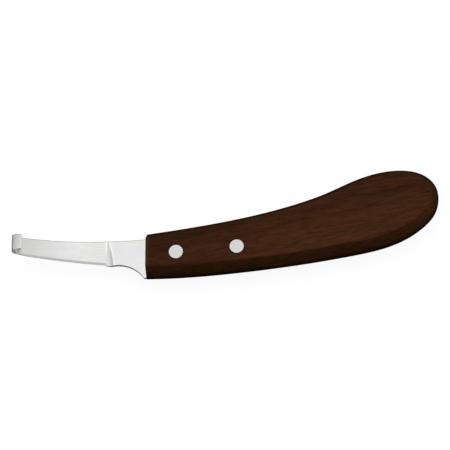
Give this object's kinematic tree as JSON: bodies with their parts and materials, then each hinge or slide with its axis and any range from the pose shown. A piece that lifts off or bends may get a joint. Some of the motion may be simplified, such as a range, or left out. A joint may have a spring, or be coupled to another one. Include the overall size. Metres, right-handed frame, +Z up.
{
  "type": "hoof knife",
  "caption": "Hoof-trimming knife: bowed steel blade with a curled hook tip, held in a swept, bevelled dark hardwood handle by flush rivets.",
  "frame": {"origin": "on the rest face, under the middle of the knife's plan outline, with the knife lying on its side", "axes": "+X from the hook to the butt, +Y from the cutting edge to the spine, +Z up out of the side that the hook curls towards"},
  "size_m": [0.2045, 0.0558, 0.0194],
  "materials": {
    "steel": "satin-ground stainless steel",
    "hardwood": "dark reddish-brown hardwood, sanded and oiled",
    "rivet": "flush-ground metal, satin"
  },
  "bodies": {
    "root": {"blade": "steel", "handle": "hardwood", "front_rivet_pin": "rivet", "front_rivet_sleeve": "rivet", "rear_rivet_pin": "rivet", "rear_rivet_sleeve": "rivet"}
  },
  "joints": []
}
